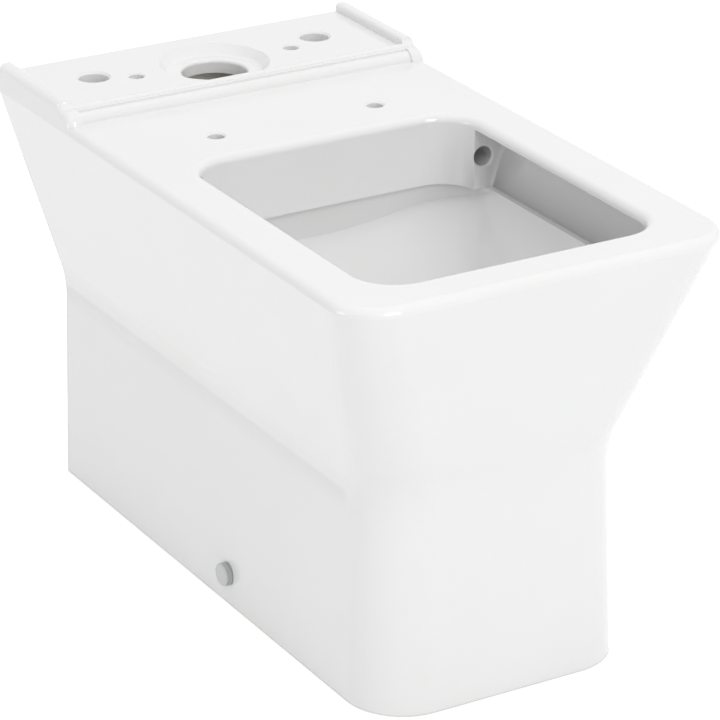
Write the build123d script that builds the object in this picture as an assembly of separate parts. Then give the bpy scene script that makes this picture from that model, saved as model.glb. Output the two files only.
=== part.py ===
from build123d import *
import math
import os

# A back-to-wall toilet pan for a close coupled cistern, with its hidden side fixings.
# Millimetres. +Z is up, the pan's front faces -Y, its back stands against a wall at +Y,
# and the origin is on the floor at the middle of the footprint.
# The pan is one fired piece of vitreous china. It is cast as the separate pieces modelled
# here, which are luted together face to face before firing.

# Overall form
overall_width = 360.0
overall_depth = 630.0
deck_height = 395.0
wall = 11.0

# How far a cutting shape runs past what it cuts
past = 20.0

# Outer shell: a tapered foot up to the waist, then a straight flare up to the rim
waist_height = 194.0
waist_side_inset = 60.0
waist_front_inset = 58.5
waist_blend_radius = 100.0
foot_side_inset = 55.0
foot_front_inset = 53.5
foot_corner_radius = 53.0
rim_corner_radius = 42.0
rim_edge_radius = 7.5
rim_band_height = 8.0

# Deck, bowl opening and seat hinge holes
deck_thickness = 12.0
opening_side_rim = 46.5
opening_front_rim = 43.5
opening_from_back = 268.5
opening_corner_radius = 36.0
opening_edge_radius = 7.5
lip_depth = 10.0
lip_lower_edge_chamfer = 1.5
channel_corner_radius = 4.0
splash_wall_thickness = 10.0
seat_hole_spacing = 158.0
seat_hole_from_back = 220.0
seat_hole_diameter = 15.0
seat_hole_chamfer = 1.5

# Cistern shelf, a shallow tray with a rib at each side and a low lip in front
shelf_depth = 128.5
shelf_rise = 9.0
shelf_plate_thickness = 13.5
rib_width = 14.0
rib_above_shelf = 8.0
rib_front_radius_share = 0.47
rib_foot_radius_share = 0.82
rib_front_slope = 75.0
rib_front_run = 10.0
rib_inner_edge_radius = 4.0
shelf_lip_rise = 3.5
shelf_lip_width = 8.0
shelf_lip_radius_share = 0.2
shelf_lip_slope = 8.0
step_blend_share = 0.64
shelf_seam_before_shelf = 39.5
rim_seam_before_opening_back = 39.5
bolt_hole_spacing = 157.0
bolt_hole_from_back = 70.0
bolt_hole_diameter = 14.0
bolt_hole_chamfer = 1.3
supply_hole_spacing = 225.0
supply_hole_from_back = 53.5
supply_hole_diameter = 27.0
supply_hole_chamfer = 2.0

# Flush inlet: a dished seat for the cistern's seal round a short throat
inlet_from_back = bolt_hole_from_back
inlet_dish_diameter = 100.0
inlet_dish_depth = 8.5
inlet_dish_slope = 8.0
inlet_dish_blend = 5.0
inlet_throat_diameter = 59.0
inlet_throat_radius = 3.0

# Flush waterway under the deck, and the two jets that feed the bowl
duct_width = 100.0
duct_wall = 9.0
duct_cross_depth = 21.0
duct_from_back = 18.0
jet_diameter = 18.0
jet_above_ledge = 29.0
jet_beside_opening = 9.0
jet_wall_before_opening_back = 30.5
jet_mouth_chamfer = 1.5

# Bowl: plan sections of its funnel, which its upright rear wall cuts off behind
ledge_drop = 64.0
ledge_thickness = 10.0
ledge_width = 5.5
bowl_wall = 10.0
bowl_back_behind_opening = 10.5
bowl_corner_radius = 60.0
bowl_upright_height = 31.0
bowl_back_bow_radius = 504.0
bowl_pool_above_mouth = 70.0
bowl_pool_width = 166.0
bowl_pool_ahead_of_mouth = 90.0
bowl_pool_behind_mouth = 87.0
bowl_pool_corner_radius = 58.0

# Trapway and outlet: down from the bowl, up and back over the weir, and out to the wall
trap_bore = 80.0
trap_wall = 8.0
trap_mouth_height = 160.0
trap_mouth_before_opening_back = 146.5
trap_entry_length = 5.0
trap_dip_radius = 55.0
trap_rise_angle = 65.0
trap_crest_above_outlet = 58.0
trap_crest_radius = 50.0
trap_fall_angle = 40.0
trap_fall_radius = 58.0
outlet_height = 180.0
outlet_length = 58.0
outlet_end_from_back = 38.0
outlet_diameter = 102.0
outlet_chamfer = 2.0
stay_height = 46.0
stay_thickness = 12.0
stay_from_outlet_start = 7.0
stay_edge_radius = 4.0

# Side fixing, one at each side of the foot
fixing_height = 28.0
fixing_offset = 1.0
fixing_hole_diameter = 12.0
boss_diameter = 40.0
boss_depth = 6.0
screw_diameter = 5.0
screw_length = 48.0
screw_point_length = 5.0
screw_head_diameter = 9.6
screw_head_height = 2.6
screw_head_chamfer = 1.1
screw_recess_width = 1.2
screw_recess_length = 5.0
screw_recess_depth = 1.4
washer_diameter = 13.0
washer_thickness = 1.0
sleeve_flange_diameter = 18.0
sleeve_flange_thickness = 1.2
sleeve_clearance = 0.15
screw_clearance = 0.2
cap_wall = 1.2
cap_clearance = 0.3
cap_headroom = 0.6
cap_edge_chamfer = 1.1
bracket_width = 40.0
bracket_height = 46.0
bracket_leg = 8.0
bracket_foot_length = 52.0
bracket_foot_height = 7.0
bracket_gusset = 5.0
bracket_gusset_size = 24.0
bracket_edge_radius = 3.0
floor_hole_diameter = 8.0
floor_hole_from_boss = 34.28

# Derived places
half_width = overall_width / 2
front_y = -overall_depth / 2
back_y = overall_depth / 2
flare_top = deck_height - rim_band_height
deck_underside = deck_height - deck_thickness
lip_underside = deck_height - lip_depth
shelf_floor_height = deck_height + shelf_rise
shelf_plate_underside = shelf_floor_height - shelf_plate_thickness
shelf_lip_height = shelf_floor_height + shelf_lip_rise
shelf_lip_radius = shelf_lip_radius_share * (shelf_lip_height - deck_height)
step_blend_radius = step_blend_share * (shelf_lip_height - deck_height)
rib_height = shelf_floor_height + rib_above_shelf
rib_front_radius = rib_front_radius_share * (rib_height - deck_height)
rib_foot_radius = rib_foot_radius_share * (rib_height - deck_height)
ledge_height = deck_height - ledge_drop
casting_seam = ledge_height - ledge_thickness
opening_width = overall_width - 2 * opening_side_rim
opening_front_y = front_y + opening_front_rim
opening_back_y = back_y - opening_from_back
splash_back_y = opening_back_y + splash_wall_thickness
shelf_front_y = back_y - shelf_depth
shelf_seam_y = shelf_front_y - shelf_seam_before_shelf
rim_seam_y = opening_back_y - rim_seam_before_opening_back
jet_wall_y = opening_back_y - jet_wall_before_opening_back
jet_centre_height = ledge_height + jet_above_ledge
jet_centre_offset = opening_width / 2 + jet_beside_opening
inlet_y = back_y - inlet_from_back
trap_mouth_y = opening_back_y - trap_mouth_before_opening_back
trap_crest_height = outlet_height + trap_crest_above_outlet
bowl_back_y = opening_back_y + bowl_back_behind_opening
bowl_pool_height = trap_mouth_height + bowl_pool_above_mouth
bowl_pool_front_y = trap_mouth_y - bowl_pool_ahead_of_mouth
bowl_pool_back_y = trap_mouth_y + bowl_pool_behind_mouth
bowl_slope_foot_height = ledge_height - bowl_upright_height
bowl_slope_run = bowl_back_y - bowl_pool_back_y
bowl_slope_rise = bowl_slope_foot_height - bowl_pool_height
bowl_top_back_y = bowl_back_y + bowl_upright_height * bowl_slope_run / bowl_slope_rise
outlet_end_y = back_y - outlet_end_from_back
outlet_start_y = outlet_end_y - outlet_length


def shell_half_width(z):
    """Half the width of the outer shell at height z."""
    if z < waist_height:
        share = z / waist_height
        return half_width - foot_side_inset - share * (waist_side_inset - foot_side_inset)
    share = min(1.0, (z - waist_height) / (flare_top - waist_height))
    return half_width - waist_side_inset * (1 - share)


def shell_front(z):
    """Y of the outer shell's front face at height z."""
    if z < waist_height:
        share = z / waist_height
        return front_y + foot_front_inset + share * (waist_front_inset - foot_front_inset)
    share = min(1.0, (z - waist_height) / (flare_top - waist_height))
    return front_y + waist_front_inset * (1 - share)


def shell_corner(z):
    """Radius of the outer shell's front corners at height z."""
    if z < waist_height:
        return foot_corner_radius
    share = min(1.0, (z - waist_height) / (flare_top - waist_height))
    return foot_corner_radius + share * (rim_corner_radius - foot_corner_radius)


def plan(half, front, back, front_radius, back_radius=0.0):
    """A rectangle in plan with rounded front corners and, if asked, rounded back corners."""
    centre = Pos(0, (front + back) / 2)
    outline = centre * Rectangle(2 * half, back - front)
    corners = outline.vertices().sort_by(Axis.Y)
    outline = fillet(corners[:2], front_radius)
    if back_radius > 0:
        corners = outline.vertices().sort_by(Axis.Y)
        outline = fillet(corners[-2:], back_radius)
    return outline


def shell_section(z, inset=0.0):
    """Plan section of the outer shell at height z, moved inwards by inset."""
    back = back_y if inset == 0 else back_y + past
    section = plan(
        shell_half_width(z) - inset,
        shell_front(z) + inset,
        back,
        shell_corner(z) - inset,
    )
    return Pos(0, 0, z) * section


def envelope(inset=0.0):
    """The outer form with its blended waist, or the space inside its wall when inset is given."""
    foot = loft([shell_section(0, inset), shell_section(waist_height, inset)], ruled=True)
    flare = loft([shell_section(waist_height, inset), shell_section(flare_top, inset)], ruled=True)
    band = extrude(shell_section(flare_top, inset), rib_height - flare_top)
    solid = foot + flare + band
    if inset > 0:
        return solid
    waist = solid.edges().filter_by_position(Axis.Z, waist_height - 0.01, waist_height + 0.01)
    waist = waist.filter_by(lambda edge: edge.center().Y < back_y - 1)
    return fillet(waist, waist_blend_radius)


def slab(z_low, z_high):
    """Everything between two heights, wider than the pan."""
    size = 2 * overall_depth
    return Pos(0, 0, (z_low + z_high) / 2) * Box(size, size, z_high - z_low)


def along_x(face, half):
    """A face drawn in the YZ plane, extruded by half each way along X."""
    return extrude(face, half, dir=(1, 0, 0), both=True)


def hole(x, y, top, diameter, chamfer_size, depth):
    """A round hole down through a plate, with a small chamfer at its top edge."""
    radius = diameter / 2
    shaft = Pos(x, y, top - depth / 2) * Cylinder(radius, depth + 2)
    mouth = Pos(x, y, top - chamfer_size / 2) * Cone(radius, radius + chamfer_size, chamfer_size)
    lift = Pos(x, y, top + 1) * Cylinder(radius + chamfer_size, 2)
    return shaft + mouth + lift


def roof():
    """Everything under the pan's top as seen from the side: the deck, then the rib's S-curve."""
    slope = math.radians(rib_front_slope)
    sine, cosine = math.sin(slope), math.cos(slope)
    top_y = shelf_front_y + rib_front_run
    high = (top_y - rib_front_radius * sine, rib_height - rib_front_radius * (1 - cosine))
    low_z = deck_height + rib_foot_radius * (1 - cosine)
    low = (high[0] - (high[1] - low_z) * cosine / sine, low_z)
    foot_y = low[0] - rib_foot_radius * sine
    with BuildSketch(Plane.YZ) as side:
        with BuildLine():
            a = Line((front_y - past, 0), (front_y - past, deck_height))
            b = Line(a @ 1, (foot_y, deck_height))
            c = RadiusArc(b @ 1, low, rib_foot_radius)
            d = Line(c @ 1, high)
            e = RadiusArc(d @ 1, (top_y, rib_height), -rib_front_radius)
            f = Line(e @ 1, (back_y, rib_height))
            g = Line(f @ 1, (back_y, 0))
            Line(g @ 1, a @ 0)
        make_face()
    return along_x(side.sketch, half_width + past)


def tray_cutter():
    """What is cut from between the ribs to leave the cistern tray and its front lip."""
    r_in, r_lip = step_blend_radius, shelf_lip_radius
    step_y = shelf_front_y - r_in
    lip_back = shelf_front_y + shelf_lip_width
    above = rib_height + past
    with BuildSketch(Plane.YZ) as side:
        with BuildLine():
            a = Line((step_y - past, above), (step_y - past, deck_height))
            b = Line(a @ 1, (step_y, deck_height))
            c = RadiusArc(b @ 1, (shelf_front_y, deck_height + r_in), r_in)
            d = Line(c @ 1, (shelf_front_y, shelf_lip_height - r_lip))
            e = RadiusArc(d @ 1, (shelf_front_y + r_lip, shelf_lip_height), -r_lip)
            f = Line(e @ 1, (lip_back, shelf_lip_height))
            g = Line(f @ 1, (lip_back + shelf_lip_slope, shelf_floor_height))
            h = Line(g @ 1, (back_y + past, shelf_floor_height))
            i = Line(h @ 1, (back_y + past, above))
            Line(i @ 1, a @ 0)
        make_face()
    return along_x(side.sketch, half_width - rib_width)


def opening(inset=0.0):
    """Plan of the bowl opening, made larger all round by inset."""
    return plan(
        opening_width / 2 + inset,
        opening_front_y - inset,
        opening_back_y + inset,
        opening_corner_radius + inset,
        opening_corner_radius + inset,
    )


def rib_inner_edges(solid):
    """The long top edges of the two ribs, next to the tray."""
    def is_inner(edge):
        beside_tray = abs(abs(edge.center().X) - (half_width - rib_width)) < 0.01
        return beside_tray and edge.length > rib_width
    edges = solid.edges().filter_by_position(Axis.Z, rib_height - 0.01, rib_height + 0.01)
    return edges.filter_by(is_inner)


def top_edges(solid):
    """The outer top edge all the way round: deck, front corners, S-curves and ribs."""
    def is_outer(edge):
        box = edge.bounding_box()
        high = box.min.Z > deck_height - 0.01
        at_side = min(abs(box.min.X), abs(box.max.X)) > half_width - rim_corner_radius - 0.01
        at_front = box.max.Y < front_y + rim_corner_radius + 0.01
        open_end = box.min.Y > back_y - 0.01
        across = box.max.X - box.min.X > 0.5
        inside_side = across and not at_front
        return high and (at_side or at_front) and not open_end and not inside_side
    return solid.edges().filter_by(is_outer)


def opening_edges(solid, z):
    """The edges at height z round the bowl opening."""
    def is_inner(edge):
        centre = edge.center()
        across = abs(centre.X) < opening_width / 2 + 0.5
        along = opening_front_y - 0.5 < centre.Y < opening_back_y + 0.5
        return across and along
    return solid.edges().filter_by_position(Axis.Z, z - 0.01, z + 0.01).filter_by(is_inner)


def inlet_cutter():
    """The dish and throat of the flush inlet, turned round the inlet's axis."""
    outer_r = inlet_dish_diameter / 2
    throat_r = inlet_throat_diameter / 2
    floor_z = shelf_floor_height - inlet_dish_depth
    with BuildSketch(Plane.XZ) as side:
        with BuildLine():
            Polyline(
                (0, rib_height + past),
                (outer_r, rib_height + past),
                (outer_r, shelf_floor_height),
                (outer_r - inlet_dish_slope, floor_z),
                (throat_r, floor_z),
                (throat_r, deck_underside - past),
                (0, deck_underside - past),
                close=True,
            )
        make_face()
    profile = side.sketch
    blend = profile.vertices().sort_by_distance((outer_r - inlet_dish_slope, 0, floor_z))[0]
    profile = fillet(blend, inlet_dish_blend)
    mouth = profile.vertices().sort_by_distance((throat_r, 0, floor_z))[0]
    profile = fillet(mouth, inlet_throat_radius)
    return Pos(0, inlet_y, 0) * revolve(profile, Axis.Z)


def jet(side):
    """One jet passage, bored forwards through the corner beside the splash wall."""
    radius = jet_diameter / 2
    length = splash_back_y - jet_wall_y + 2
    place = Pos(side * jet_centre_offset, jet_wall_y - 1, jet_centre_height) * Rot(-90, 0, 0)
    bore = place * Pos(0, 0, length / 2) * Cylinder(radius, length)
    mouth_depth = jet_mouth_chamfer + 1
    mouth = place * Pos(0, 0, mouth_depth / 2) * Cone(radius + mouth_depth, radius, mouth_depth)
    return bore + mouth


def top_casting():
    """The whole top of the pan in one block, before it is divided at its seam."""
    top = outer & roof() & slab(casting_seam, rib_height + past)
    top = fillet(top_edges(top), rim_edge_radius)
    top = top - tray_cutter()
    top = fillet(rib_inner_edges(top), rib_inner_edge_radius)
    top = top - extrude(Pos(0, 0, casting_seam) * opening(), rib_height)
    top = fillet(opening_edges(top, deck_height), opening_edge_radius)
    return top


def between_y(y_low, y_high):
    """Everything between two places along Y, wider and taller than the pan."""
    size = 2 * overall_depth
    return Pos(0, (y_low + y_high) / 2, 0) * Box(size, y_high - y_low, size)


def top_void():
    """What is hollow under the deck, round the lip and under the cistern shelf."""
    low = casting_seam - 1
    behind_shelf = between_y(shelf_seam_y, back_y + past)
    below = inner & slab(low, ledge_height)
    channel = inner & slab(low, lip_underside) & between_y(front_y, jet_wall_y)
    end_corners = channel.edges().filter_by_position(Axis.Y, jet_wall_y - 0.01, jet_wall_y + 0.01)
    end_corners = end_corners.filter_by(lambda edge: abs((edge @ 1).Z - (edge @ 0).Z) > lip_depth)
    channel = fillet(end_corners, channel_corner_radius)
    behind = inner & slab(low, deck_underside) & between_y(splash_back_y, back_y + past)
    shelf = inner & slab(low, shelf_plate_underside) & behind_shelf
    pad = extrude(Pos(0, 0, deck_underside) * duct_plan(0), past) & behind_shelf
    return below + channel + behind + (shelf - pad)


def shelf_hole(side, spacing, from_back, diameter, chamfer_size):
    """A hole through the cistern shelf, on one side of the middle."""
    depth = shelf_floor_height - shelf_plate_underside
    return hole(side * spacing / 2, back_y - from_back, shelf_floor_height, diameter, chamfer_size, depth)


def seat_hole(side):
    """A seat hinge hole through the deck, on one side of the middle."""
    x = side * seat_hole_spacing / 2
    y = back_y - seat_hole_from_back
    return hole(x, y, deck_height, seat_hole_diameter, seat_hole_chamfer, deck_thickness)


def divided_top():
    """The three castings of the top: the rim in front, the seat deck and the cistern shelf."""
    top = top_casting() - top_void()
    for side in (-1, 1):
        top = top - jet(side) - seat_hole(side)
        top = top - shelf_hole(side, bolt_hole_spacing, bolt_hole_from_back,
                               bolt_hole_diameter, bolt_hole_chamfer)
        top = top - shelf_hole(side, supply_hole_spacing, supply_hole_from_back,
                               supply_hole_diameter, supply_hole_chamfer)
    top = top - inlet_cutter()
    lip = opening_edges(top, lip_underside).filter_by(lambda edge: edge.center().Y < jet_wall_y - 0.01)
    top = chamfer(lip, lip_lower_edge_chamfer)
    front = top & between_y(front_y - past, rim_seam_y)
    deck = top & between_y(rim_seam_y, shelf_seam_y)
    back = top & between_y(shelf_seam_y, back_y + past)
    return front, deck, back


def duct_plan(inset):
    """Plan of the T-shaped waterway: a main duct and a cross duct behind the splash wall."""
    main_half = duct_width / 2 - inset
    main_back = back_y - duct_from_back - inset
    front = splash_back_y
    main = Pos(0, (front + main_back) / 2) * Rectangle(2 * main_half, main_back - front)
    cross_back = front + duct_cross_depth - inset
    cross = Pos(0, (front + cross_back) / 2) * Rectangle(2 * half_width, cross_back - front)
    return main + cross


def flush_duct():
    """The waterway from the flush inlet to the two jets, closed above by the deck and shelf."""
    height = shelf_plate_underside - ledge_height
    body = extrude(Pos(0, 0, ledge_height) * duct_plan(0), height)
    hollow = extrude(Pos(0, 0, ledge_height + duct_wall) * duct_plan(duct_wall), height)
    return ((body - hollow) & inner) - seat_deck - cistern_shelf


def bowl_plan(half, front, back, radius):
    """Plan section of the funnel: a rounded rectangle whose rear side is bowed backwards."""
    side_back = back - bowl_back_bow_radius + math.sqrt(bowl_back_bow_radius ** 2 - half ** 2)
    with BuildSketch() as section:
        with BuildLine():
            a = Line((-half, side_back), (-half, front))
            b = Line(a @ 1, (half, front))
            c = Line(b @ 1, (half, side_back))
            ThreePointArc(c @ 1, (0, back), a @ 0)
        make_face()
        fillet(section.vertices(), radius)
    return section.sketch


def bowl_funnel(extra):
    """The funnel from above the ledge down to the trap's mouth, widened by extra."""
    half = shell_half_width(ledge_height) - wall - ledge_width
    front = shell_front(ledge_height) + wall + ledge_width
    mouth_r = trap_bore / 2 + extra
    mouth = plan(mouth_r, trap_mouth_y - mouth_r, trap_mouth_y + mouth_r, mouth_r - 0.01, mouth_r - 0.01)
    top = bowl_plan(half + extra, front - extra, bowl_top_back_y + extra, bowl_corner_radius + extra)
    pool = bowl_plan(
        bowl_pool_width / 2 + extra,
        bowl_pool_front_y - extra,
        bowl_pool_back_y + extra,
        bowl_pool_corner_radius + extra,
    )
    sections = [
        Pos(0, 0, ledge_height) * top,
        Pos(0, 0, bowl_pool_height) * pool,
        Pos(0, 0, trap_mouth_height) * mouth,
    ]
    outline = plan(half + extra, front - extra, bowl_back_y + extra,
                   bowl_corner_radius + extra, bowl_corner_radius + extra)
    upright = extrude(Pos(0, 0, trap_mouth_height) * outline, ledge_height - trap_mouth_height)
    return loft(sections, ruled=True) & upright


def bowl_casting():
    """The bowl: a narrow ledge all round, an upright rear wall and the funnel to the trap."""
    flange_back = bowl_back_y + bowl_wall
    flange = inner & slab(casting_seam, ledge_height) & between_y(front_y, flange_back)
    return (bowl_funnel(bowl_wall) & inner) + flange - bowl_funnel(0)


def trap_path():
    """Centre line of the trapway in the plane of symmetry, as straights and tangent bends."""
    rise, fall = math.radians(trap_rise_angle), math.radians(trap_fall_angle)
    entry_z = trap_mouth_height - trap_entry_length
    rise_start_z = entry_z - trap_dip_radius * math.cos(rise)
    rise_end_z = trap_crest_height - trap_crest_radius * (1 - math.cos(rise))
    fall_start_z = trap_crest_height - trap_crest_radius * (1 - math.cos(fall))
    fall_end_z = outlet_height + trap_fall_radius * (1 - math.cos(fall))
    with BuildLine(Plane.YZ):
        entry = Line((trap_mouth_y, trap_mouth_height), (trap_mouth_y, entry_z))
        down = JernArc(entry @ 1, entry % 1, trap_dip_radius, 90)
        up = JernArc(down @ 1, down % 1, trap_dip_radius, trap_rise_angle)
        riser = Line(up @ 1, up @ 1 + up % 1 * (rise_end_z - rise_start_z) / math.sin(rise))
        over = JernArc(riser @ 1, riser % 1, trap_crest_radius, -trap_rise_angle)
        away = JernArc(over @ 1, over % 1, trap_crest_radius, -trap_fall_angle)
        drop = Line(away @ 1, away @ 1 + away % 1 * (fall_start_z - fall_end_z) / math.sin(fall))
        level = JernArc(drop @ 1, drop % 1, trap_fall_radius, trap_fall_angle)
        run = Line(level @ 1, (outlet_start_y, outlet_height))
    return (entry, down), (up, riser, over), (away, drop, level, run)


def bar(stretch, radius):
    """A round bar along one stretch of the trapway: straight, or bent about an axis along X."""
    face = Plane(origin=stretch @ 0, z_dir=stretch % 0) * Circle(radius)
    if stretch.geom_type == GeomType.LINE:
        return extrude(face, stretch.length)
    spin = (stretch % 0).cross(stretch % 1)
    turn = math.degrees(stretch.length / stretch.radius)
    return revolve(face, Axis(stretch.arc_center, spin), turn)


def trap_casting(stretches):
    """One length of the bent pipe that holds the water seal, cut where it leans on the bowl."""
    pipe = Part()
    bore = Part()
    for stretch in stretches:
        pipe = pipe + bar(stretch, trap_bore / 2 + trap_wall)
        bore = bore + bar(stretch, trap_bore / 2)
    return pipe - bore - bowl_funnel(bowl_wall)


def spigot_casting():
    """The outlet spigot, a straight pipe with a chamfered end for the drain connector."""
    place = Pos(0, outlet_start_y, outlet_height) * Rot(-90, 0, 0)
    pipe = place * Pos(0, 0, outlet_length / 2) * Cylinder(outlet_diameter / 2, outlet_length)
    end = pipe.edges().filter_by(GeomType.CIRCLE).sort_by(Axis.Y)[-1]
    pipe = chamfer(end, outlet_chamfer)
    bore = place * Pos(0, 0, outlet_length / 2) * Cylinder(trap_bore / 2, outlet_length + 2)
    return pipe - bore


def stay_casting(side):
    """A stay that ties the end of the trapway to one side wall."""
    reach = half_width
    stay = Box(reach, stay_thickness, stay_height)
    stay = fillet(stay.edges().filter_by(Axis.X), stay_edge_radius)
    stay_y = outlet_start_y - stay_from_outlet_start
    stay = Pos(side * reach / 2, stay_y, outlet_height) * stay
    hub = Pos(0, stay_y, outlet_height) * Rot(90, 0, 0) * Cylinder(trap_bore / 2 + trap_wall, overall_depth)
    return (stay & inner) - hub


def fixing_axis(side, x):
    """A place on the side fixing's axis, x out from the middle, with Z pointing outwards."""
    return Pos(side * x, fixing_offset, fixing_height) * Rot(0, side * 90, 0)


def along_axis(side, x_low, x_high, radius):
    """A cylinder on the fixing's axis between two distances from the middle."""
    return fixing_axis(side, (x_low + x_high) / 2) * Cylinder(radius, x_high - x_low)


wall_inside = shell_half_width(fixing_height) - wall
boss_face = wall_inside - boss_depth
flange_seat = shell_half_width(fixing_height - sleeve_flange_diameter / 2)
washer_seat = flange_seat + sleeve_flange_thickness
head_seat = washer_seat + washer_thickness
head_top = head_seat + screw_head_height
cap_inner_radius = sleeve_flange_diameter / 2 + cap_clearance
cap_outer_radius = cap_inner_radius + cap_wall
cap_seat = shell_half_width(fixing_height - cap_outer_radius) + cap_clearance


def pedestal():
    """The shrouded foot: two side walls and a front, open behind and below."""
    shell = (outer - inner) & slab(0, casting_seam)
    for side in (-1, 1):
        boss = along_axis(side, boss_face, wall_inside + wall / 2, boss_diameter / 2) & outer
        shell = shell + boss
        shell = shell - along_axis(side, boss_face - 1, half_width, fixing_hole_diameter / 2)
    return shell


def cap(side):
    """The press-on cover cap, hollow so that it hides the screw head."""
    ceiling = head_top + cap_headroom
    body = along_axis(side, cap_seat, ceiling + cap_wall, cap_outer_radius)
    rims = body.edges().filter_by(GeomType.CIRCLE).sort_by(Axis.X)
    face_edge = rims[-1] if side > 0 else rims[0]
    body = chamfer(face_edge, cap_edge_chamfer)
    return body - along_axis(side, cap_seat - 1, ceiling, cap_inner_radius)


def sleeve(side):
    """The plastic sleeve that lines the hole, with a flange that the cap grips."""
    tube_radius = fixing_hole_diameter / 2 - sleeve_clearance
    tube = along_axis(side, boss_face, flange_seat, tube_radius)
    flange = along_axis(side, flange_seat, washer_seat, sleeve_flange_diameter / 2)
    bore_radius = screw_diameter / 2 + screw_clearance
    return tube + flange - along_axis(side, boss_face - 1, washer_seat + 1, bore_radius)


def washer(side):
    """The steel washer under the screw head."""
    ring = along_axis(side, washer_seat, head_seat, washer_diameter / 2)
    return ring - along_axis(side, washer_seat - 1, head_seat + 1, screw_diameter / 2 + screw_clearance)


def screw(side):
    """The side screw: a pan head with a cross recess, a plain shank and a point."""
    tip = head_seat - screw_length
    point_start = tip + screw_point_length
    head = along_axis(side, head_seat, head_top, screw_head_diameter / 2)
    rims = head.edges().filter_by(GeomType.CIRCLE).sort_by(Axis.X)
    head = chamfer(rims[-1] if side > 0 else rims[0], screw_head_chamfer)
    shank = along_axis(side, point_start, head_seat, screw_diameter / 2)
    point = fixing_axis(side, (tip + point_start) / 2) * Cone(0, screw_diameter / 2, screw_point_length)
    recess = Box(screw_recess_width, screw_recess_length, 2 * screw_recess_depth)
    recess = recess + Box(screw_recess_length, screw_recess_width, 2 * screw_recess_depth)
    return head + shank + point - fixing_axis(side, head_top) * recess


def bracket(side):
    """The floor bracket inside the foot: an upright leg, a foot and two gussets."""
    leg_x = boss_face - bracket_leg
    with BuildSketch(Plane.XZ) as profile:
        with BuildLine():
            Polyline(
                (boss_face, 0),
                (boss_face, bracket_height),
                (leg_x, bracket_height),
                (leg_x, bracket_foot_height),
                (boss_face - bracket_foot_length, bracket_foot_height),
                (boss_face - bracket_foot_length, 0),
                close=True,
            )
        make_face()
    body = extrude(profile.sketch, bracket_width / 2, both=True)
    with BuildSketch(Plane.XZ) as web:
        with BuildLine():
            Polyline(
                (leg_x, bracket_foot_height),
                (leg_x, bracket_foot_height + bracket_gusset_size),
                (leg_x - bracket_gusset_size, bracket_foot_height),
                close=True,
            )
        make_face()
    gusset = extrude(web.sketch, bracket_gusset / 2, both=True)
    shift = (bracket_width - bracket_gusset) / 2
    body = body + Pos(0, shift, 0) * gusset + Pos(0, -shift, 0) * gusset
    corners = body.edges().filter_by(Axis.Z).sort_by(Axis.X)[:2]
    body = fillet(corners, bracket_edge_radius)
    floor_hole = Pos(boss_face - floor_hole_from_boss, 0, 0)
    body = body - floor_hole * Cylinder(floor_hole_diameter / 2, 3 * bracket_foot_height)
    if side < 0:
        body = mirror(body, Plane.YZ)
    body = Pos(0, fixing_offset, 0) * body
    return body - along_axis(side, boss_face - bracket_leg - 1, boss_face + 1, screw_diameter / 2)


def write(name, solid):
    """Write one node's STEP file."""
    export_step(solid, f"parts/{name}.step")


os.makedirs("parts", exist_ok=True)
outer = envelope()
inner = envelope(wall)
rim, seat_deck, cistern_shelf = divided_top()
write("rim", rim)
write("seat_deck", seat_deck)
write("cistern_shelf", cistern_shelf)
write("flush_duct", flush_duct())
write("bowl", bowl_casting())
for name, stretches in zip(("trap_inlet", "trap_riser", "trap_fall"), trap_path()):
    write(name, trap_casting(stretches))
write("outlet_spigot", spigot_casting())
write("pedestal_shell", pedestal())
for side, name in ((-1, "left"), (1, "right")):
    write(f"outlet_stay_{name}", stay_casting(side))
    write(f"cover_cap_{name}", cap(side))
    write(f"screw_sleeve_{name}", sleeve(side))
    write(f"screw_washer_{name}", washer(side))
    write(f"side_screw_{name}", screw(side))
    write(f"floor_bracket_{name}", bracket(side))
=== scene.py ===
# %% [markdown]
# A back-to-wall toilet pan, dressed for its picture.
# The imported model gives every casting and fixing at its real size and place. This lesson loads it,
# sets the camera where the photographer stood, gives each surface the finish of the real thing
# (glossy white glaze, bare fired clay, satin plating, zinc and moulded plastic) and lights a plain
# pale studio. Nothing of the model is moved, because its shape is already the real one.

# %% Load the fixed frame
import math

import bpy
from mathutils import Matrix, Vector


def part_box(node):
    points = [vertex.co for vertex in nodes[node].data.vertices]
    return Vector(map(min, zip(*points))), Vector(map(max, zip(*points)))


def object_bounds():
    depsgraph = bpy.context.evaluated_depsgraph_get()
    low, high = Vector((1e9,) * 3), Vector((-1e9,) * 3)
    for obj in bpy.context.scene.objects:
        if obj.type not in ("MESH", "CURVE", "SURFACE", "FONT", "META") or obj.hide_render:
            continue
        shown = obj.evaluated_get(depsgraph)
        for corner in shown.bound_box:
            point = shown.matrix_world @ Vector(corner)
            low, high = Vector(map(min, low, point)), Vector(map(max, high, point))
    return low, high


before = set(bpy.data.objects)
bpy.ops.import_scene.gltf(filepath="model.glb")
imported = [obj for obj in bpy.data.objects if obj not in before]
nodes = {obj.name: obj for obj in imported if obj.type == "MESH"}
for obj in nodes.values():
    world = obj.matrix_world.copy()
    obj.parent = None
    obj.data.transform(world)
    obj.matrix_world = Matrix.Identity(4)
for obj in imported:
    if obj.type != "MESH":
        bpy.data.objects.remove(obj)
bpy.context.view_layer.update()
low_corner, high_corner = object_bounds()
print("box:", [round(value, 4) for value in low_corner], [round(value, 4) for value in high_corner])

# %% [markdown]
# The camera comes first, because everything else is judged through it. The picture was taken from
# the front left and a little above, about three metres away with a long lens, so the pan keeps
# nearly the same width from front to back. The lens and the place come from fitting the pan's own
# corners and holes to where they fall in the picture.

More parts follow.
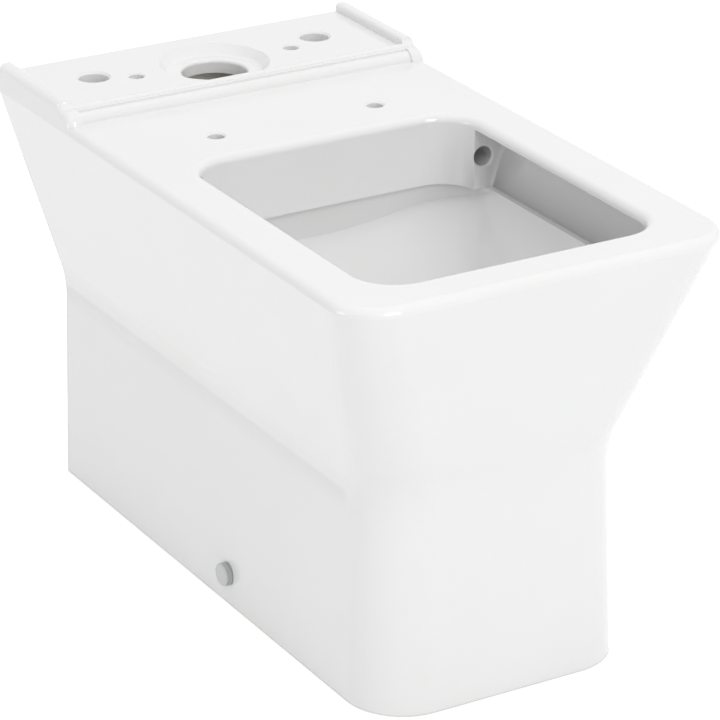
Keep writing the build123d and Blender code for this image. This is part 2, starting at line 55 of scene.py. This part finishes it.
# %% Camera
lens_length = 190.6
sensor_width = 36.0
camera_place = (-1.5200, -2.6254, 1.5184)
view_down = 23.431
view_round = -30.210
farthest_view = 60.0
camera_data = bpy.data.cameras.new("long_lens")
camera_data.lens = lens_length
camera_data.sensor_width = sensor_width
camera_data.clip_end = farthest_view
camera = bpy.data.objects.new("long_lens", camera_data)
camera.location = camera_place
camera.rotation_euler = (math.radians(90.0 - view_down), 0.0, math.radians(view_round))
bpy.context.scene.collection.objects.link(camera)
bpy.context.scene.camera = camera
bpy.context.scene.view_settings.view_transform = "Standard"
print("camera at", tuple(round(value, 3) for value in camera.location))

# %% [markdown]
# A finish could be wired by hand in the shader editor. Here short helpers do it, so that each
# finish reads as a few steps. The first ones add a node, start a material, and make or place a
# node group with named sockets.


# %% Helpers for nodes, materials and groups
def add(tree, kind, **settings):
    """Add one node and set its plain properties."""
    node = tree.nodes.new(kind)
    for name, value in settings.items():
        setattr(node, name, value)
    return node


def new_material(name):
    """Start a material and hand back its tree and its main shader."""
    material = bpy.data.materials.new(name)
    material.use_nodes = True
    tree = material.node_tree
    return material, tree, tree.nodes["Principled BSDF"]


def new_group(name, inputs, outputs):
    """Start a node group. Inputs are (name, kind, start value), outputs are (name, kind)."""
    group = bpy.data.node_groups.new(name, "ShaderNodeTree")
    for socket_name, kind, value in inputs:
        socket = group.interface.new_socket(socket_name, in_out="INPUT", socket_type=kind)
        socket.default_value = value
    for socket_name, kind in outputs:
        group.interface.new_socket(socket_name, in_out="OUTPUT", socket_type=kind)
    return group, add(group, "NodeGroupInput"), add(group, "NodeGroupOutput")


def use_group(tree, group, **values):
    """Place a group in a tree and set some of its inputs by name."""
    node = add(tree, "ShaderNodeGroup", node_tree=group)
    for name, value in values.items():
        node.inputs[name.replace("_", " ")].default_value = value
    return node


print("helpers for nodes, materials and groups are ready")


# %% Helpers for numbers and colours
def math_node(tree, operation, first, second=0.0):
    """One arithmetic step. Either side may be a socket or a plain number."""
    node = add(tree, "ShaderNodeMath", operation=operation)
    for index, value in enumerate((first, second)):
        if isinstance(value, (int, float)):
            node.inputs[index].default_value = value
        else:
            tree.links.new(value, node.inputs[index])
    return node.outputs["Value"]


def remap(tree, value, low, high, to_low, to_high):
    """Stretch a value from one range to another, and hold it inside the new range."""
    node = add(tree, "ShaderNodeMapRange", clamp=True)
    node.inputs["From Min"].default_value = low
    node.inputs["From Max"].default_value = high
    node.inputs["To Min"].default_value = to_low
    node.inputs["To Max"].default_value = to_high
    tree.links.new(value, node.inputs["Value"])
    return node.outputs["Result"]


def blend(tree, factor, first, second):
    """Mix two colours. Either one may be a socket or three plain numbers."""
    node = add(tree, "ShaderNodeMix", data_type="RGBA")
    tree.links.new(factor, node.inputs["Factor"])
    for name, colour in (("A", first), ("B", second)):
        if isinstance(colour, tuple):
            node.inputs[name].default_value = (*colour, 1.0)
        else:
            tree.links.new(colour, node.inputs[name])
    return node.outputs["Result"]


print("helpers for numbers and colours are ready")

# %% [markdown]
# Every pattern is read from Object coordinates, so it keeps its size in metres and stays put when
# a piece moves. Some finishes stop at a place, or cover only the side of a wall that looks one
# way. The pan is the same on both sides and its middle is the origin, so place times normal, added
# up over X and Y, is above zero where a surface looks away from the middle and below zero where it
# looks towards it.


# %% Helpers for places and directions
def object_place(tree):
    """Object coordinates in metres, as a socket."""
    return add(tree, "ShaderNodeTexCoord").outputs["Object"]


def split_place(tree):
    """Object coordinates taken apart into X, Y and Z."""
    split = add(tree, "ShaderNodeSeparateXYZ")
    tree.links.new(object_place(tree), split.inputs["Vector"])
    return split.outputs


def outwardness(tree, place):
    """Above 0 where a surface looks away from the middle of the pan, in metres."""
    split_normal = add(tree, "ShaderNodeSeparateXYZ")
    normal = add(tree, "ShaderNodeNewGeometry").outputs["True Normal"]
    tree.links.new(normal, split_normal.inputs["Vector"])
    side = math_node(tree, "MULTIPLY", place["X"], split_normal.outputs["X"])
    ahead = math_node(tree, "MULTIPLY", place["Y"], split_normal.outputs["Y"])
    return math_node(tree, "ADD", side, ahead)


def bump_out(group, height, end):
    """Send a height in metres out of a group as its bumped normal."""
    bump = add(group, "ShaderNodeBump")
    bump.inputs["Strength"].default_value = 1.0
    bump.inputs["Distance"].default_value = 1.0
    group.links.new(height, bump.inputs["Height"])
    group.links.new(bump.outputs["Normal"], end.inputs["Normal"])


print("helpers for places and directions are ready")

# %% [markdown]
# Three effects are shared by several surfaces, so each is made once as a node group.
# The first is the gentle unevenness of anything that was dipped, sprayed or moulded: a broad
# waviness and a fine peel. It could be modelled, but at a tenth of a millimetre it shows only in
# the way reflections bend, so a bumped normal is enough.


# %% Shared effect: uneven surface
def surface_unevenness():
    """Bumped normal from a broad waviness and a fine peel, in metres of height."""
    group, start, end = new_group(
        "surface_unevenness",
        [
            ("Broad Scale", "NodeSocketFloat", 14.0),
            ("Broad Height", "NodeSocketFloat", 0.00012),
            ("Fine Scale", "NodeSocketFloat", 420.0),
            ("Fine Height", "NodeSocketFloat", 0.000004),
        ],
        [("Normal", "NodeSocketVector")],
    )
    place = object_place(group)
    heights = []
    for size in ("Broad", "Fine"):
        texture = add(group, "ShaderNodeTexNoise")
        texture.inputs["Detail"].default_value = 1.0
        group.links.new(place, texture.inputs["Vector"])
        group.links.new(start.outputs[f"{size} Scale"], texture.inputs["Scale"])
        full_height = start.outputs[f"{size} Height"]
        heights.append(math_node(group, "MULTIPLY", texture.outputs["Fac"], full_height))
    bump_out(group, math_node(group, "ADD", heights[0], heights[1]), end)
    return group


unevenness = surface_unevenness()
print("effect:", unevenness.name, "nodes:", len(unevenness.nodes))

# %% [markdown]
# The second effect is a slow drift of tone, as glaze runs thicker in one place than in another and
# as plastic cools unevenly. One plain colour would look like paint on a screen.


# %% Shared effect: drift of tone
def tone_drift():
    """A mask from 0 to 1 that drifts slowly over the piece, with some finer clouding."""
    group, start, end = new_group(
        "tone_drift",
        [("Scale", "NodeSocketFloat", 5.0)],
        [("Mask", "NodeSocketFloat")],
    )
    texture = add(group, "ShaderNodeTexNoise")
    texture.inputs["Detail"].default_value = 4.0
    texture.inputs["Roughness"].default_value = 0.55
    group.links.new(object_place(group), texture.inputs["Vector"])
    group.links.new(start.outputs["Scale"], texture.inputs["Scale"])
    mask = remap(group, texture.outputs["Fac"], 0.3, 0.7, 0.0, 1.0)
    group.links.new(mask, end.inputs["Mask"])
    return group


drift = tone_drift()
print("effect:", drift.name, "nodes:", len(drift.nodes))

# %% [markdown]
# The third effect is the grain of fired clay, about a millimetre across. The cells of a Voronoi
# texture stand for the grains, and the same cells give both the specks and the pores.


# %% Shared effect: grain of fired clay
def clay_grain():
    """Specks and pores as a mask, and the same pores as a bumped normal."""
    group, start, end = new_group(
        "clay_grain",
        [("Pore Scale", "NodeSocketFloat", 900.0), ("Pore Height", "NodeSocketFloat", 0.00006)],
        [("Mask", "NodeSocketFloat"), ("Normal", "NodeSocketVector")],
    )
    pores = add(group, "ShaderNodeTexVoronoi", feature="F1")
    group.links.new(object_place(group), pores.inputs["Vector"])
    group.links.new(start.outputs["Pore Scale"], pores.inputs["Scale"])
    mask = remap(group, pores.outputs["Distance"], 0.1, 0.5, 0.0, 1.0)
    group.links.new(mask, end.inputs["Mask"])
    bump_out(group, math_node(group, "MULTIPLY", mask, start.outputs["Pore Height"]), end)
    return group


grain = clay_grain()
print("effect:", grain.name, "nodes:", len(grain.nodes))

# %% [markdown]
# Two more effects belong to the form of this pan, and each is a mask of painted shade. Just under
# the waist of each long side, in the shallow hollow where the flare meets the upright wall, a faint
# grey line with a sharp upper edge is painted into the glaze as shade. It stops where the front
# corner begins, and it is a change of tone and nothing more.

# %% Painted shade under the waist
line_top = 0.1905
line_deepest = 0.1865
line_foot = 0.1690
line_front_end = -0.204
line_end_fade = 0.012


def painted_waist_shade():
    """A mask of painted shade: a grey line under the waist of each long side."""
    group, start, end = new_group(
        "painted_waist_shade",
        [("Strength", "NodeSocketFloat", 1.0)],
        [("Mask", "NodeSocketFloat")],
    )
    place = split_place(group)
    upper = remap(group, place["Z"], line_deepest, line_top, 1.0, 0.0)
    lower = remap(group, place["Z"], line_foot, line_deepest, 0.0, 1.0)
    full_from = line_front_end + line_end_fade
    along = remap(group, place["Y"], line_front_end, full_from, 0.0, 1.0)
    band = math_node(group, "MULTIPLY", upper, math_node(group, "MULTIPLY", lower, along))
    mask = math_node(group, "MULTIPLY", band, start.outputs["Strength"])
    group.links.new(mask, end.inputs["Mask"])
    return group


waist_shade_group = painted_waist_shade()
print("effect:", waist_shade_group.name, "height of the line:", round(line_top - line_foot, 4))

# %% [markdown]
# Inside the flush channel, shade is painted into the glaze of its outer wall, greyer and greyer
# towards the bottom, where little light reaches under the rim. The outer wall of the channel looks
# towards the middle of the pan from far out, so its outwardness is the most negative of all, and a
# limit on that number picks it out from the walls of the bowl.

# %% Painted shade in the channel
channel_top = 0.384
channel_bottom = 0.333
all_channel = -0.143
no_channel = -0.125
darkening_curve = 1.6


def painted_channel_shade():
    """A mask of painted shade that grows towards the bottom of the channel, on its outer walls only.
    """
    group, start, end = new_group(
        "painted_channel_shade",
        [("Strength", "NodeSocketFloat", 1.0)],
        [("Mask", "NodeSocketFloat")],
    )
    place = split_place(group)
    inward = remap(group, outwardness(group, place), all_channel, no_channel, 1.0, 0.0)
    depth = remap(group, place["Z"], channel_bottom, channel_top, 1.0, 0.0)
    deep = math_node(group, "POWER", depth, darkening_curve)
    strength = math_node(group, "MULTIPLY", deep, start.outputs["Strength"])
    group.links.new(math_node(group, "MULTIPLY", inward, strength), end.inputs["Mask"])
    return group


channel_shade_group = painted_channel_shade()
print("effect:", channel_shade_group.name, "depth:", round(channel_top - channel_bottom, 4))

# %% [markdown]
# White glaze. The colour drifts by a hair between two whites, one of them slightly warmer. The
# shine varies too: a freshly fired glaze is almost mirror smooth, and a little duller where it ran
# thin. A clear coat on top carries the crisp reflection, and the wavy normal keeps the long
# reflections from looking like flat glass. The bowl's glaze is a touch less white than the
# deck's: that is painted shade inside the bowl, matched to the tones of the photo.

# %% White glaze
warm_white = (0.860, 0.860, 0.855)
cool_white = (0.875, 0.878, 0.878)
glaze_drift_scale = 6.0
thin_roughness = 0.16
thick_roughness = 0.10
# Painted shade: the bowl's glaze is made less white by this factor.
bowl_shade_factor = 0.94
# The grey of the painted shade in the flush channel.
channel_shade_grey = (0.46, 0.46, 0.47)


def white_glaze(name, whiteness=1.0):
    """Glossy sanitary glaze, as a material together with its tree and shader."""
    material, tree, shader = new_material(name)
    tone = use_group(tree, drift, Scale=glaze_drift_scale).outputs["Mask"]
    warm = tuple(part * whiteness for part in warm_white)
    cool = tuple(part * whiteness for part in cool_white)
    tree.links.new(blend(tree, tone, warm, cool), shader.inputs["Base Color"])
    dull = remap(tree, tone, 0.0, 1.0, thin_roughness, thick_roughness)
    tree.links.new(dull, shader.inputs["Roughness"])
    normal = use_group(tree, unevenness).outputs["Normal"]
    tree.links.new(normal, shader.inputs["Normal"])
    tree.links.new(normal, shader.inputs["Coat Normal"])
    shader.inputs["IOR"].default_value = 1.52
    shader.inputs["Coat Weight"].default_value = 0.4
    shader.inputs["Coat Roughness"].default_value = 0.04
    shader.inputs["Coat IOR"].default_value = 1.5
    return material, tree, shader


def shaded_glaze(tree, shader, mask, shade):
    """Mix a greyer colour of painted shade into a glaze where a mask says so."""
    colour = shader.inputs["Base Color"].links[0].from_socket
    tree.links.new(blend(tree, mask, colour, shade), shader.inputs["Base Color"])


glaze = white_glaze("white_glaze")[0]
# Painted shade: a less white copy of the glaze for the bowl.
bowl_glaze_painted_shade = white_glaze("bowl_glaze_painted_shade", bowl_shade_factor)[0]
# The rim and the deck get painted shade in the flush channel, greyer towards its bottom.
rim_glaze, rim_tree, rim_shader = white_glaze("rim_glaze")
channel_shade_mask = use_group(rim_tree, channel_shade_group).outputs["Mask"]
shaded_glaze(rim_tree, rim_shader, channel_shade_mask, channel_shade_grey)
print("glazes:", glaze.name, bowl_glaze_painted_shade.name, rim_glaze.name)

# %% [markdown]
# Bare fired clay. Glaze isn't put where nobody sees it: on the outside of the trapway and the
# waterway, inside the foot, and on the edges that stand on the floor or against the wall. Those
# places show the dry, cream white body with fine pores and a few faint iron specks. The specks are
# the very middles of the grain's cells, so they sit in the pores and not beside them.

# %% Bare clay
dark_clay = (0.70, 0.675, 0.63)
pale_clay = (0.80, 0.785, 0.75)
iron_speck = (0.52, 0.46, 0.40)
clay_drift_scale = 18.0
speck_size = 0.25


def clay_look(tree, shader):
    """Give a shader the dry, grainy look of fired clay."""
    pores = use_group(tree, grain)
    cloud = use_group(tree, drift, Scale=clay_drift_scale).outputs["Mask"]
    body = blend(tree, cloud, dark_clay, pale_clay)
    off_speck = remap(tree, pores.outputs["Mask"], 0.0, speck_size, 0.0, 1.0)
    tree.links.new(blend(tree, off_speck, iron_speck, body), shader.inputs["Base Color"])
    tree.links.new(pores.outputs["Normal"], shader.inputs["Normal"])
    shader.inputs["Roughness"].default_value = 0.85
    shader.inputs["IOR"].default_value = 1.4


clay, clay_tree, clay_shader = new_material("bare_clay")
clay_look(clay_tree, clay_shader)
print("clay:", clay.name, "nodes:", len(clay_tree.nodes))

# %% [markdown]
# The foot is glazed outside and bare inside, though it is one casting. It could be given two
# material slots, but its mesh is loose triangles and the model stays untouched, so a mask tells
# the two sides apart by their outwardness. The end faces against the wall and on the floor are
# bare as well, and they are found by their place alone. The glaze stops with a soft edge, as it
# does where it is wiped off before firing.

# %% Glaze outside and bare clay inside
side_fade = 0.002
wiped_from = 0.0015
bare_from = 0.0005
# The grey of the painted shade under the waist.
waist_shade_grey = (0.800, 0.800, 0.806)


def outside_mask(tree):
    """1 on surfaces that look outwards and are not on the wall or the floor, 0 elsewhere."""
    place = split_place(tree)
    outward = remap(tree, outwardness(tree, place), -side_fade, side_fade, 0.0, 1.0)
    wall = high_corner[1]
    off_wall = remap(tree, place["Y"], wall - wiped_from, wall - bare_from, 1.0, 0.0)
    off_floor = remap(tree, place["Z"], bare_from, wiped_from, 0.0, 1.0)
    off_both = math_node(tree, "MULTIPLY", off_wall, off_floor)
    return math_node(tree, "MULTIPLY", outward, off_both)


def foot_material():
    """White glaze with a line of painted shade under the waist outside, bare clay elsewhere."""
    material, tree, shader = white_glaze("foot_glaze_and_clay")
    # Painted shade: a grey line under the waist of each long side.
    line = use_group(tree, waist_shade_group).outputs["Mask"]
    shaded_glaze(tree, shader, line, waist_shade_grey)
    dry = add(tree, "ShaderNodeBsdfPrincipled")
    clay_look(tree, dry)
    pick = add(tree, "ShaderNodeMixShader")
    out = tree.nodes["Material Output"]
    tree.links.new(outside_mask(tree), pick.inputs["Fac"])
    tree.links.new(dry.outputs["BSDF"], pick.inputs[1])
    tree.links.new(shader.outputs["BSDF"], pick.inputs[2])
    tree.links.new(pick.outputs["Shader"], out.inputs["Surface"])
    return material


foot = foot_material()
print("foot:", foot.name, "nodes:", len(foot.node_tree.nodes))

# %% [markdown]
# The cover cap is moulded and plated with a satin finish, darker than bright chrome. Its shine is
# broad and very finely brushed round its axis, which lies along X. A brushed look could come from
# a stretched noise, but that would run straight across the round face. Here the noise is read by
# the distance from the axis instead, so its streaks close into rings.

# %% Satin plating of the cover caps
dark_plating = (0.42, 0.43, 0.44)
pale_plating = (0.54, 0.55, 0.56)
brush_scale = 5200.0


def satin_plating():
    """Plated metal, brushed in rings round an axis along X through each cap's middle."""
    material, tree, shader = new_material("satin_plating")
    cap_low, cap_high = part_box("cover_cap_left")
    place = split_place(tree)
    along = math_node(tree, "SUBTRACT", place["Y"], (cap_low[1] + cap_high[1]) / 2)
    up = math_node(tree, "SUBTRACT", place["Z"], (cap_low[2] + cap_high[2]) / 2)
    along_squared = math_node(tree, "MULTIPLY", along, along)
    up_squared = math_node(tree, "MULTIPLY", up, up)
    radius = math_node(tree, "SQRT", math_node(tree, "ADD", along_squared, up_squared))
    rings = add(tree, "ShaderNodeCombineXYZ")
    tree.links.new(radius, rings.inputs["X"])
    tree.links.new(place["X"], rings.inputs["Y"])
    texture = add(tree, "ShaderNodeTexNoise")
    texture.inputs["Scale"].default_value = brush_scale
    texture.inputs["Detail"].default_value = 3.0
    tree.links.new(rings.outputs["Vector"], texture.inputs["Vector"])
    brush = texture.outputs["Fac"]
    tree.links.new(blend(tree, brush, dark_plating, pale_plating), shader.inputs["Base Color"])
    tree.links.new(remap(tree, brush, 0.3, 0.7, 0.20, 0.34), shader.inputs["Roughness"])
    shader.inputs["Metallic"].default_value = 1.0
    return material


plating = satin_plating()
print("plating:", plating.name)

# %% [markdown]
# The screw and its washer are zinc plated steel: brighter and duller grains lie side by side, with
# a cool grey tone. Each cell of a Voronoi texture has one colour, and turned to grey that colour
# gives every grain its own tone and its own shine.

# %% Zinc plating of the screws and washers
dark_zinc = (0.50, 0.52, 0.55)
pale_zinc = (0.68, 0.69, 0.70)
spangle_scale = 700.0


def zinc_plating():
    """Zinc plated steel with a fine spangle."""
    material, tree, shader = new_material("zinc_plating")
    spangle = add(tree, "ShaderNodeTexVoronoi", feature="F1")
    spangle.inputs["Scale"].default_value = spangle_scale
    tree.links.new(object_place(tree), spangle.inputs["Vector"])
    grey = add(tree, "ShaderNodeRGBToBW")
    tree.links.new(spangle.outputs["Color"], grey.inputs["Color"])
    shade = grey.outputs["Val"]
    tree.links.new(blend(tree, shade, dark_zinc, pale_zinc), shader.inputs["Base Color"])
    tree.links.new(remap(tree, shade, 0.2, 0.8, 0.28, 0.45), shader.inputs["Roughness"])
    shader.inputs["Metallic"].default_value = 1.0
    return material


zinc = zinc_plating()
print("zinc:", zinc.name)

# %% [markdown]
# The sleeves and the floor brackets are moulded from off-white nylon, whose mould was eroded to a
# fine matt texture. The unevenness of the glaze serves here too, only much finer.

# %% Moulded plastic of the sleeves and brackets
dark_nylon = (0.74, 0.74, 0.71)
pale_nylon = (0.80, 0.80, 0.775)
nylon_drift_scale = 30.0


def moulded_plastic():
    """Off-white nylon with a fine eroded texture and a slow drift of shine."""
    material, tree, shader = new_material("moulded_plastic")
    tone = use_group(tree, drift, Scale=nylon_drift_scale).outputs["Mask"]
    tree.links.new(blend(tree, tone, dark_nylon, pale_nylon), shader.inputs["Base Color"])
    tree.links.new(remap(tree, tone, 0.0, 1.0, 0.42, 0.55), shader.inputs["Roughness"])
    texture = use_group(tree, unevenness, Broad_Scale=60.0, Broad_Height=0.00002,
                        Fine_Scale=2600.0, Fine_Height=0.000008)
    tree.links.new(texture.outputs["Normal"], shader.inputs["Normal"])
    shader.inputs["IOR"].default_value = 1.53
    return material


plastic = moulded_plastic()
print("plastic:", plastic.name)

# %% [markdown]
# Now every piece gets its finish, by name. The castings that are seen from above are glazed all
# over. The ones that hang inside the foot are bare clay.

# %% Give each piece its finish
finishes = {
    "rim": rim_glaze,
    "seat_deck": rim_glaze,
    "cistern_shelf": glaze,
    "bowl": bowl_glaze_painted_shade,
    "pedestal_shell": foot,
    "flush_duct": clay,
    "trap_inlet": clay,
    "trap_riser": clay,
    "trap_fall": clay,
    "outlet_spigot": clay,
}
for side in ("left", "right"):
    finishes[f"outlet_stay_{side}"] = clay
    finishes[f"cover_cap_{side}"] = plating
    finishes[f"screw_sleeve_{side}"] = plastic
    finishes[f"floor_bracket_{side}"] = plastic
    finishes[f"screw_washer_{side}"] = zinc
    finishes[f"side_screw_{side}"] = zinc
for name, node in nodes.items():
    for slot in node.material_slots:
        slot.material = finishes[name]
print("finished pieces:", len(finishes), "of", len(nodes))

# %% [markdown]
# The studio. A wide paper floor carries the soft shadow of the pan. A camera ray sees the paper
# with an even white laid over it, as an exposed white sweep looks, so the ground is white and the
# shadow is still on it. A ray that sees the paper in a reflection gets the same white, so the
# glaze and the plated caps mirror the ground that the picture shows. Every other ray meets plain
# white paper, so the light that the floor throws back onto the pan stays true.


# %% Rays that show the surroundings
def shown_rays(tree):
    """1 for rays that show a place, straight or by reflection, and 0 for rays that only light."""
    path = add(tree, "ShaderNodeLightPath").outputs
    shown = math_node(tree, "MAXIMUM", path["Is Camera Ray"], path["Is Glossy Ray"])
    return math_node(tree, "MAXIMUM", shown, path["Is Transmission Ray"])


# %% Floor
floor_size = 14.0
floor_height = -0.0005
lit_paper = 0.92
shadow_paper = 0.50
even_paper = 0.70


def grey(level):
    """A neutral colour of one level."""
    return (level, level, level, 1.0)


floor_material = bpy.data.materials.new("studio_paper")
floor_material.use_nodes = True
paper_tree = floor_material.node_tree
paper_tree.nodes.clear()
paper_out = add(paper_tree, "ShaderNodeOutputMaterial")
paper = add(paper_tree, "ShaderNodeBsdfDiffuse")
paper.inputs["Color"].default_value = grey(lit_paper)
shaded_paper = add(paper_tree, "ShaderNodeBsdfDiffuse")
shaded_paper.inputs["Color"].default_value = grey(shadow_paper)
even_white = add(paper_tree, "ShaderNodeEmission")
even_white.inputs["Color"].default_value = grey(even_paper)
even_white.inputs["Strength"].default_value = 1.0
exposed = add(paper_tree, "ShaderNodeAddShader")
paper_tree.links.new(shaded_paper.outputs["BSDF"], exposed.inputs[0])
paper_tree.links.new(even_white.outputs["Emission"], exposed.inputs[1])
seen = add(paper_tree, "ShaderNodeMixShader")
paper_tree.links.new(shown_rays(paper_tree), seen.inputs["Fac"])
paper_tree.links.new(paper.outputs["BSDF"], seen.inputs[1])
paper_tree.links.new(exposed.outputs["Shader"], seen.inputs[2])
paper_tree.links.new(seen.outputs["Shader"], paper_out.inputs["Surface"])
bpy.ops.object.select_all(action="DESELECT")
bpy.ops.mesh.primitive_plane_add(size=floor_size, location=(0.0, 0.0, floor_height))
floor = bpy.context.object
floor.name = "studio_floor"
floor.data.materials.append(floor_material)
print("floor:", floor.name, "size:", floor_size)

# %% [markdown]
# The light of the room is even and white, and brighter overhead than at the level of the eye. A
# picture of a real room could light the pan, but this lesson uses no pictures, and a plain ramp
# from the horizon to the zenith does the same for an object without mirrors.

# %% Room light
room_level = 0.305
overhead_level = 0.947
world = bpy.data.worlds.new("soft_room")
bpy.context.scene.world = world
world.use_nodes = True
sky = world.node_tree
sky.nodes.clear()
sky_out = add(sky, "ShaderNodeOutputWorld")
backdrop = add(sky, "ShaderNodeBackground")
backdrop.inputs["Strength"].default_value = 1.0
backdrop.inputs["Color"].default_value = grey(1.0)
room = add(sky, "ShaderNodeBackground")
room.inputs["Color"].default_value = grey(1.0)
direction = add(sky, "ShaderNodeSeparateXYZ")
sky.links.new(add(sky, "ShaderNodeTexCoord").outputs["Generated"], direction.inputs["Vector"])
room_light = remap(sky, direction.outputs["Z"], 0.0, 1.0, room_level, overhead_level)
sky.links.new(room_light, room.inputs["Strength"])
choice = add(sky, "ShaderNodeMixShader")
sky.links.new(shown_rays(sky), choice.inputs["Fac"])
sky.links.new(room.outputs["Background"], choice.inputs[1])
sky.links.new(backdrop.outputs["Background"], choice.inputs[2])
sky.links.new(choice.outputs["Shader"], sky_out.inputs["Surface"])
print("room light:", room_level, "at eye level,", overhead_level, "overhead")

# %% [markdown]
# Three large softboxes give the light a direction: one in front, which also reaches the wall at
# the back of the bowl, a low one on the left that lights the long side and stays out of the bowl,
# and one above for the deck and the shelf. They are large and far enough away to leave no hard
# highlight, and the one above is left out of reflections, so that the deck shows no bright square.

# %% Softboxes
aim_point = (0.0, 0.0, 0.25)
front_power = 33.8
left_power = 10.6
overhead_power = 10.5


def softbox(name, place, size, power):
    """A square area lamp that looks at the aim point."""
    data = bpy.data.lights.new(name, "AREA")
    data.shape = "SQUARE"
    data.size = size
    data.energy = power
    lamp = bpy.data.objects.new(name, data)
    lamp.location = place
    aim = Vector(aim_point) - Vector(place)
    lamp.rotation_euler = aim.to_track_quat("-Z", "Y").to_euler()
    bpy.context.scene.collection.objects.link(lamp)
    return lamp


front_box = softbox("front_softbox", place=(0.3, -3.0, 2.0), size=1.6, power=front_power)
left_box = softbox("low_left_softbox", place=(-3.2, 0.3, 0.55), size=0.9, power=left_power)
overhead_box = softbox("overhead_softbox", place=(0.3, 0.2, 3.0), size=1.8, power=overhead_power)
overhead_box.visible_glossy = False
print("lamps:", front_box.name, left_box.name, overhead_box.name)
